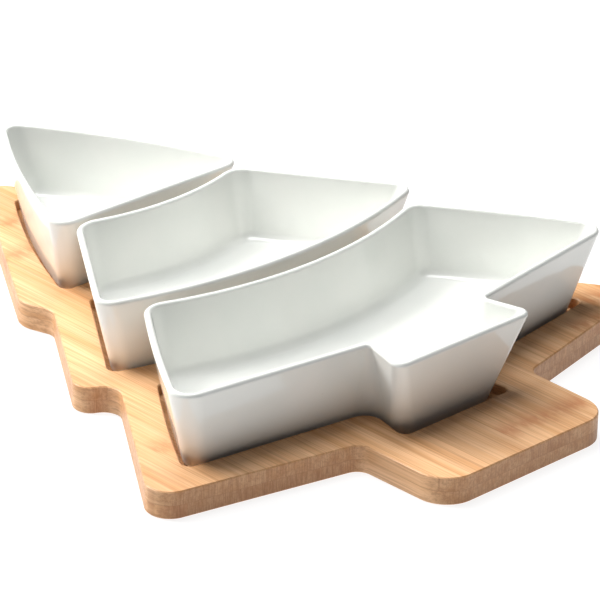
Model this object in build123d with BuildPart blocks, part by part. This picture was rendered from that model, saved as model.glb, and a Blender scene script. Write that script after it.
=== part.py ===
from build123d import *
from math import radians, sin, tan
import os

# Fir-tree serving set: a bamboo board with three ceramic dishes, one for each tier of the tree.
# The dishes stand loose in pockets milled in the board and lift straight up.
# Frame: the board lies on XY with its underside at Z = 0, and the tree points along +Y.
# The origin is under the middle of the board. All sizes are in millimetres.
# In the outlines below, Y is counted from the end of the trunk, and X from the tree's middle line.

# Heights above the table
BOARD_THICKNESS = 12.7
PLY_THICKNESS = BOARD_THICKNESS / 2
POCKET_DEPTH = 5.0
RIM_HEIGHT = 48.9
FLOOR_HEIGHT = 17.5

# Ceramic walls
WALL_LEAN = 12.8  # degrees outward from upright
WALL_THICKNESS = 3.2
RIM_ROUND = 1.5
FLOOR_THICKNESS = 4.5
FLOOR_ROUND = 5.0
FLOOR_CORNER = 6.0
FOOT_ROUND = 1.5
FOOT_RING_WIDTH = 5.0
FOOT_RING_CORNER = 2.5
INNER_CORNER_ROUND = 1.8  # rim radius where the trunk leaves the base tier

# Board
STRIP_WIDTH = 24.0
STRIPS_PER_PLY = 12
EDGE_EASE = 0.5
POCKET_CLEARANCE = 1.6
POCKET_CORNER = 4.0
TRUNK_SLACK = 2.5  # more clearance past the trunk's end

# Sharp corners of the board's right half, from the trunk's end up to the tip: X, Y, rounding
BOARD_CORNERS = [
    (50.3, 0.0, 15.0),  # trunk's end
    (51.2, 49.3, 6.6),  # where the trunk leaves the base tier
    (149.9, 71.4, 10.6),  # base tier
    (90.2, 157.0, 8.0),  # notch under the middle tier
    (108.5, 164.9, 8.1),  # middle tier
    (64.7, 229.9, 8.0),  # notch under the top tier
    (70.0, 246.9, 12.7),  # top tier
    (0.0, 357.5, 8.7),  # tip
]
TIP_HALF_ANGLE = 32.3  # degrees

# Sharp rim corners of each dish's right half, from its lower edge up: X, Y, rounding at the rim
# and at the foot. The inner corner, which has none, keeps its centre at every height.
APEX_CORNERS = [(57.8, 235.6, 8.0, 6.9), (0.0, 344.5, 9.5, 7.5)]
MIDDLE_CORNERS = [(97.1, 164.8, 7.6, 6.9), (47.8, 235.8, 13.7, 10.0)]
BASE_CORNERS = [
    (41.5, 38.4, 4.8, 6.9),
    (35.1, 62.0, None, None),
    (132.3, 76.6, 9.6, 6.9),
    (80.4, 154.0, 11.7, 10.0),
]

# How far each edge bows outward, counted anticlockwise from the right half's first corner
APEX_BOWS = [5.0, 5.0, 0]
MIDDLE_BOWS = [0, -8.8, 0, 18.2]
BASE_BOWS = [0, 0, 1.7, -16.1, 1.7, 0, 0, 0]

POCKET_FLOOR = BOARD_THICKNESS - POCKET_DEPTH
TIP_CUT = BOARD_CORNERS[-1][2] * (1 / sin(radians(TIP_HALF_ANGLE)) - 1)
BOARD_LENGTH = BOARD_CORNERS[-1][1] - TIP_CUT
HALF_LENGTH = BOARD_LENGTH / 2


def lean_inset(height):
    """How far the outside of a dish stands in from its rim at this height."""
    return (RIM_HEIGHT - height) * tan(radians(WALL_LEAN))


def outline(height, corners, bows, radii, inset=0.0):
    """A symmetric outline from its right half's corners, set in and then rounded."""
    points = [(x, y - HALF_LENGTH) for x, y in corners]
    mirrored = [(-x, y) for x, y in reversed(points) if x > 0]
    radii = radii + radii[: len(mirrored)][::-1]
    points = points + mirrored
    with BuildSketch(Plane.XY.offset(height)) as face:
        with BuildLine():
            for start, end, bow in zip(points, points[1:] + points[:1], bows):
                if bow:
                    SagittaArc(start, end, -bow)
                else:
                    Line(start, end)
        make_face()
        for point, radius in zip(points, radii):
            if radius is None:
                fillet(face.vertices().sort_by_distance(point)[0], INNER_CORNER_ROUND)
        if inset:
            offset(amount=-inset)
        tips = [face.vertices().sort_by_distance(point)[0].center() for point in points]
        for tip, radius in zip(tips, radii):
            if radius:
                fillet(face.vertices().sort_by_distance(tip)[0], radius)
    return face.sketch


def dish(label, rim, bows):
    """A slip-cast dish: leaning walls, a hollow with a rounded floor and a recessed underside."""
    corners = [(x, y) for x, y, _, _ in rim]
    rim_radii = [rim_round for _, _, rim_round, _ in rim]
    foot_radii = [foot_round for _, _, _, foot_round in rim]
    lip_radii = [r and max(r - WALL_THICKNESS, 2.5) for r in rim_radii]
    floor_radii = [r and FLOOR_CORNER for r in rim_radii]
    ring_radii = [r and FOOT_RING_CORNER for r in rim_radii]
    foot_inset = lean_inset(POCKET_FLOOR)
    with BuildPart() as hollow:
        add(outline(FLOOR_HEIGHT, corners, bows, floor_radii, lean_inset(FLOOR_HEIGHT) + WALL_THICKNESS))
        add(outline(RIM_HEIGHT, corners, bows, lip_radii, WALL_THICKNESS))
        loft(ruled=True)
        fillet(hollow.edges().group_by(Axis.Z)[0], FLOOR_ROUND)
    with BuildPart() as body:
        add(outline(POCKET_FLOOR, corners, bows, foot_radii, foot_inset))
        add(outline(RIM_HEIGHT, corners, bows, rim_radii))
        loft(ruled=True)
        fillet(body.edges().group_by(Axis.Z)[0], FOOT_ROUND)
        add(hollow.part, mode=Mode.SUBTRACT)
        fillet(body.edges().group_by(Axis.Z)[-1], RIM_ROUND)
        add(outline(POCKET_FLOOR, corners, bows, ring_radii, foot_inset + FOOT_RING_WIDTH))
        extrude(amount=FLOOR_HEIGHT - FLOOR_THICKNESS - POCKET_FLOOR, mode=Mode.SUBTRACT)
    body.part.label = label
    return body.part


def pocket(label, rim, bows):
    """The pocket that seats one dish: its foot's outline at the board's face, with some clearance."""
    corners = [(x, y) for x, y, _, _ in rim]
    if label == "base_dish":
        corners[0] = (corners[0][0], corners[0][1] - TRUNK_SLACK)
    radii = [rim_round and POCKET_CORNER for _, _, rim_round, _ in rim]
    inset = lean_inset(BOARD_THICKNESS) - POCKET_CLEARANCE
    return outline(POCKET_FLOOR, corners, bows, radii, inset)


DISHES = {
    "apex_dish": (APEX_CORNERS, APEX_BOWS),
    "middle_dish": (MIDDLE_CORNERS, MIDDLE_BOWS),
    "base_dish": (BASE_CORNERS, BASE_BOWS),
}

# The whole board, with its outline, its three pockets and its eased edges
with BuildPart() as board:
    add(
        outline(
            0,
            [(x, y) for x, y, _ in BOARD_CORNERS],
            [0] * (2 * len(BOARD_CORNERS) - 1),
            [radius for _, _, radius in BOARD_CORNERS],
        )
    )
    extrude(amount=BOARD_THICKNESS)
    for label, (rim, bows) in DISHES.items():
        add(pocket(label, rim, bows))
        extrude(amount=POCKET_DEPTH, mode=Mode.SUBTRACT)
    chamfer(board.edges().group_by(Axis.Z)[-1], EDGE_EASE)
    chamfer(board.edges().group_by(Axis.Z)[0], EDGE_EASE)

os.makedirs("parts", exist_ok=True)

for label, (rim, bows) in DISHES.items():
    export_step(dish(label, rim, bows), f"parts/{label}.step")


def strips(ply, count, height):
    """Cuts one ply of the board into its glued strips, numbered from left to right."""
    for index in range(count):
        middle = (index - (count - 1) / 2) * STRIP_WIDTH
        with BuildPart() as strip:
            add(board.part)
            with Locations((middle, 0, height)):
                Box(
                    STRIP_WIDTH,
                    2 * BOARD_LENGTH,
                    PLY_THICKNESS,
                    align=(Align.CENTER, Align.CENTER, Align.MIN),
                    mode=Mode.INTERSECT,
                )
        strip.part.label = f"{ply}_strip_{index + 1:02d}"
        export_step(strip.part, f"parts/{strip.part.label}.step")


strips("upper", STRIPS_PER_PLY, PLY_THICKNESS)
strips("lower", STRIPS_PER_PLY + 1, 0)
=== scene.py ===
import math
import random

import bpy
from mathutils import Matrix, Vector


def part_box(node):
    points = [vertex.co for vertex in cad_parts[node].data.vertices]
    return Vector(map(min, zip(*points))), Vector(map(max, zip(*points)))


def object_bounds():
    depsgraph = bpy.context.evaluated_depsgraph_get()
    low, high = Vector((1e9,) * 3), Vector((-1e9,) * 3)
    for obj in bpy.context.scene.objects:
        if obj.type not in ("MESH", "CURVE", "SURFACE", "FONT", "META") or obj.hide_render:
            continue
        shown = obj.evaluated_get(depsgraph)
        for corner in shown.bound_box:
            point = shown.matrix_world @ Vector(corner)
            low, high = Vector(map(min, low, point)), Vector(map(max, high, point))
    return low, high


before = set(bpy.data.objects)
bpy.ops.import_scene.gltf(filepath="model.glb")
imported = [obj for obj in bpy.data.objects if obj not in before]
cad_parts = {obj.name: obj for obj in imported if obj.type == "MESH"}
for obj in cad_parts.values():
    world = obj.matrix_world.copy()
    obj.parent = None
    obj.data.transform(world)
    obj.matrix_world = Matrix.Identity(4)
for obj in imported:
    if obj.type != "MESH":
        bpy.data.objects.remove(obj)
CAD_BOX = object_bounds()
LOW, HIGH = Vector(CAD_BOX[0]), Vector(CAD_BOX[1])
DISHES = ("apex_dish", "middle_dish", "base_dish")
STRIPS = sorted(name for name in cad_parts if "strip" in name)
rng = random.Random(24)


# ---- node helpers -------------------------------------------------------------------------------

class Nodes:
    """A material's node tree, with one short call for each kind of node."""

    def __init__(self, name):
        self.material = bpy.data.materials.new(name)
        self.material.use_nodes = True
        self.tree = self.material.node_tree
        self.shader = self.tree.nodes["Principled BSDF"]

    def add(self, kind, settings=None, **inputs):
        node = self.tree.nodes.new(kind)
        for key, value in (settings or {}).items():
            setattr(node, key, value)
        for key, value in inputs.items():
            self.put(node.inputs[key.replace("_", " ")], value)
        return node

    def put(self, socket, value):
        if isinstance(value, bpy.types.NodeSocket):
            self.tree.links.new(value, socket)
        else:
            socket.default_value = value

    def place(self, scale, shift=(0, 0, 0)):
        """Shared-frame coordinates at rest, which ride with the piece, stretched and then shifted."""
        coordinates = self.add("ShaderNodeTexCoord")
        mapping = self.add("ShaderNodeMapping", Scale=scale, Location=shift)
        self.put(mapping.inputs["Vector"], coordinates.outputs["Object"])
        return mapping

    def noise(self, vector, scale, detail=2.0, roughness=0.5):
        node = self.add("ShaderNodeTexNoise", Scale=scale, Detail=detail, Roughness=roughness)
        self.put(node.inputs["Vector"], vector)
        return node.outputs["Fac"]

    def math(self, operation, a, b=0.0, c=0.0):
        node = self.add("ShaderNodeMath", {"operation": operation})
        for socket, value in zip(node.inputs, (a, b, c)):
            self.put(socket, value)
        return node.outputs[0]

    def remap(self, value, low, high, to_low=0.0, to_high=1.0):
        node = self.add("ShaderNodeMapRange")
        for key, entry in (("Value", value), ("From Min", low), ("From Max", high)):
            self.put(node.inputs[key], entry)
        self.put(node.inputs["To Min"], to_low)
        self.put(node.inputs["To Max"], to_high)
        return node.outputs["Result"]

    def mix(self, factor, a, b):
        node = self.add("ShaderNodeMix", {"data_type": "RGBA", "blend_type": "MIX"})
        self.put(node.inputs["Factor"], factor)
        self.put(node.inputs["A"], a)
        self.put(node.inputs["B"], b)
        return node.outputs["Result"]

    def bump(self, height, distance, strength):
        node = self.add("ShaderNodeBump", Strength=strength, Distance=distance)
        self.put(node.inputs["Height"], height)
        self.put(self.shader.inputs["Normal"], node.outputs["Normal"])


# ---- materials ----------------------------------------------------------------------------------

def bamboo(name, strip, tone, shift, knuckle, end_shade):
    """One strip of bamboo: fibres along Y that show as dots on cut ends, a knuckle and glued edges."""
    n = Nodes(name)
    lines = n.place((1.0, 0.012, 1.0), shift).outputs["Vector"]
    fibre = n.noise(lines, 2200.0, 3.0, 0.6)
    thread = n.noise(lines, 900.0, 3.0, 0.6)
    streak = n.noise(n.place((1.0, 0.04, 1.0), shift).outputs["Vector"], 210.0, 2.0)
    pale = (0.82 * tone, 0.50 * tone, 0.27 * tone, 1)
    honey = (0.66 * tone, 0.345 * tone, 0.15 * tone, 1)
    brown = (0.36, 0.15, 0.055, 1)
    rust = (0.52, 0.20, 0.08, 1)
    base = n.mix(n.remap(streak, 0.34, 0.68), pale, honey)
    base = n.mix(n.remap(thread, 0.47, 0.62, 0.0, 0.38), base, brown)
    base = n.mix(n.remap(fibre, 0.52, 0.66, 0.0, 0.30), base, brown)

    # A knuckle: a rusty, ragged band right across the strip
    here = n.add("ShaderNodeSeparateXYZ")
    n.put(here.inputs[0], n.place((1, 1, 1)).outputs["Vector"])
    ragged = n.noise(n.place((1.0, 0.25, 1.0), shift).outputs["Vector"], 260.0, 4.0, 0.7)
    wavy = n.math("MULTIPLY_ADD", ragged, 0.016, -0.008 - knuckle)
    off = n.math("ABSOLUTE", n.math("ADD", here.outputs["Y"], wavy))
    band = n.math("MULTIPLY", n.remap(off, 0.009, 0.0), n.remap(ragged, 0.35, 0.55))
    base = n.mix(n.math("MULTIPLY", band, 0.75), base, rust)

    # Cut ends are darker, with the fibres as small upright marks, and painted shade darkens them towards
    # the bottom
    facing = n.add("ShaderNodeSeparateXYZ")
    n.put(facing.inputs[0], n.add("ShaderNodeNewGeometry").outputs["Normal"])
    end = n.math("ABSOLUTE", facing.outputs["Y"])
    marks = n.noise(n.place((1.5, 0.012, 0.12), shift).outputs["Vector"], 1300.0, 2.0)
    marks = n.remap(marks, 0.42, 0.66, 0.34 * end_shade, 0.66 * end_shade)
    # painted shade: up to 0.22 more brown at the bottom of each cut end, fading out by 11 mm up
    low = n.remap(here.outputs["Z"], 0.0, 0.011, 0.22, 0.0)
    base = n.mix(n.math("MULTIPLY", n.remap(end, 0.3, 0.9), n.math("ADD", marks, low)), base, brown)

    # Glue lines at the strip's two long edges and between the plies
    (x0, _, z0), (x1, _, z1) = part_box(strip)
    glue_z = z0 if z0 > LOW.z + 0.001 else z1
    edges = []
    for axis, place in (("X", x0), ("X", x1), ("Z", glue_z)):
        edges.append(n.math("ABSOLUTE", n.math("SUBTRACT", here.outputs[axis], place)))
    nearest = n.math("MINIMUM", n.math("MINIMUM", edges[0], edges[1]), edges[2])
    base = n.mix(n.remap(nearest, 0.0003, 0.0001, 0.0, 0.3), base, brown)

    n.put(n.shader.inputs["Base Color"], base)
    n.put(n.shader.inputs["Roughness"], n.remap(fibre, 0.3, 0.7, 0.38, 0.52))
    n.bump(fibre, 0.00008, 0.5)
    return n.material


def glaze():
    """Glossy white glaze with a faint ripple and a few pinholes, bare and rough under the foot."""
    n = Nodes("glaze")
    here = n.place((1, 1, 1)).outputs["Vector"]
    height = n.add("ShaderNodeSeparateXYZ")
    n.put(height.inputs[0], here)
    pool = n.noise(here, 45.0, 2.0)
    ragged_height = n.math("MULTIPLY_ADD", n.noise(here, 400.0), BARE_WAVER, height.outputs["Z"])
    bare = n.remap(ragged_height, FOOT_BARE + BARE_WAVER, FOOT_BARE + BARE_WAVER / 2)
    base = n.mix(n.remap(pool, 0.3, 0.7), (0.86, 0.87, 0.84, 1), (0.83, 0.85, 0.82, 1))
    pinholes = n.add("ShaderNodeTexVoronoi", {"feature": "F1"}, Scale=90.0)
    n.put(pinholes.inputs["Vector"], here)
    base = n.mix(n.remap(pinholes.outputs["Distance"], 0.03, 0.018, 0.0, 0.2), base, (0.45, 0.40, 0.33, 1))
    base = n.mix(bare, base, (0.74, 0.69, 0.60, 1))
    n.put(n.shader.inputs["Base Color"], base)
    n.put(n.shader.inputs["Roughness"], n.remap(bare, 0.0, 1.0, 0.07, 0.65))
    n.put(n.shader.inputs["IOR"], 1.52)
    n.bump(pool, 0.0006, 0.2)
    return n.material


def paper():
    n = Nodes("floor_paper")
    n.put(n.shader.inputs["Base Color"], (0.25, 0.25, 0.25, 1))
    n.put(n.shader.inputs["Roughness"], 0.8)
    n.put(n.shader.inputs["Specular IOR Level"], 0.1)
    n.put(n.shader.inputs["Emission Color"], (1, 1, 1, 1))
    n.put(n.shader.inputs["Emission Strength"], 0.85)
    return n.material


def dress(node, material):
    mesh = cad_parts[node].data
    mesh.materials.clear()
    mesh.materials.append(material)


BARE_WAVER = 0.0008  # how much the glaze's lower edge waves up and down
FOOT_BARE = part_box("base_dish")[0][2] + 0.0006
# Strips whose knuckle has a set place along Y; the others' are random
KNUCKLES = {"upper_strip_08": -0.158, "upper_strip_05": 0.112}
GLAZE = glaze()
for dish in DISHES:
    dress(dish, GLAZE)
for strip in STRIPS:
    tone = rng.uniform(0.94, 1.06)
    shift = (rng.uniform(0, 1), rng.uniform(0, 1), rng.uniform(0, 1))
    knuckle = rng.uniform(LOW.y, HIGH.y)
    end_shade = rng.uniform(0.78, 1.22)
    dress(strip, bamboo(f"bamboo_{strip}", strip, tone, shift, KNUCKLES.get(strip, knuckle), end_shade))


# ---- floor, light and camera --------------------------------------------------------------------

bpy.ops.mesh.primitive_plane_add(size=8.0, location=(0, 0, LOW.z - 0.0002))
floor = bpy.context.object
floor.name = "floor"
floor.data.materials.append(paper())


def aim(obj, target, roll=0.0):
    """Points an object's -Z at the target, upright, then rolls it about that line."""
    direction = (Vector(target) - obj.location).normalized()
    upright = direction.to_track_quat("-Z", "Y")
    obj.rotation_euler = (upright @ Matrix.Rotation(roll, 3, "Z").to_quaternion()).to_euler()


def softbox(name, place, size, power, colour):
    data = bpy.data.lights.new(name, "AREA")
    data.shape = "RECTANGLE"
    data.size, data.size_y = size
    data.energy = power
    data.color = colour
    light = bpy.data.objects.new(name, data)
    bpy.context.collection.objects.link(light)
    light.location = place
    aim(light, (0, 0, 0.03))


softbox("key", (-0.5, 1.3, 1.4), (1.2, 0.9), 60, (1.0, 0.98, 0.95))
softbox("top", (0.0, 0.4, 1.8), (1.0, 1.0), 26, (1.0, 1.0, 1.0))

world = bpy.data.worlds.new("studio")
bpy.context.scene.world = world
world.use_nodes = True
world.node_tree.nodes["Background"].inputs["Color"].default_value = (0.93, 0.97, 1.0, 1)
world.node_tree.nodes["Background"].inputs["Strength"].default_value = 0.08

AZIMUTH, ELEVATION, ROLL = math.radians(44.28), math.radians(25.75), math.radians(1.35)
DISTANCE = 1.883
FOCAL_LENGTH = 249.2  # mm
TARGET = Vector((0.0433, 0.0096, 0))
camera_data = bpy.data.cameras.new("camera")
camera_data.lens = FOCAL_LENGTH
camera_data.clip_start = 0.05
camera = bpy.data.objects.new("camera", camera_data)
bpy.context.collection.objects.link(camera)
level = math.cos(ELEVATION)
back = Vector((-math.sin(AZIMUTH) * level, -math.cos(AZIMUTH) * level, math.sin(ELEVATION)))
camera.location = TARGET + back * DISTANCE
aim(camera, TARGET, ROLL)
bpy.context.scene.camera = camera
bpy.context.scene.view_settings.view_transform = "Standard"
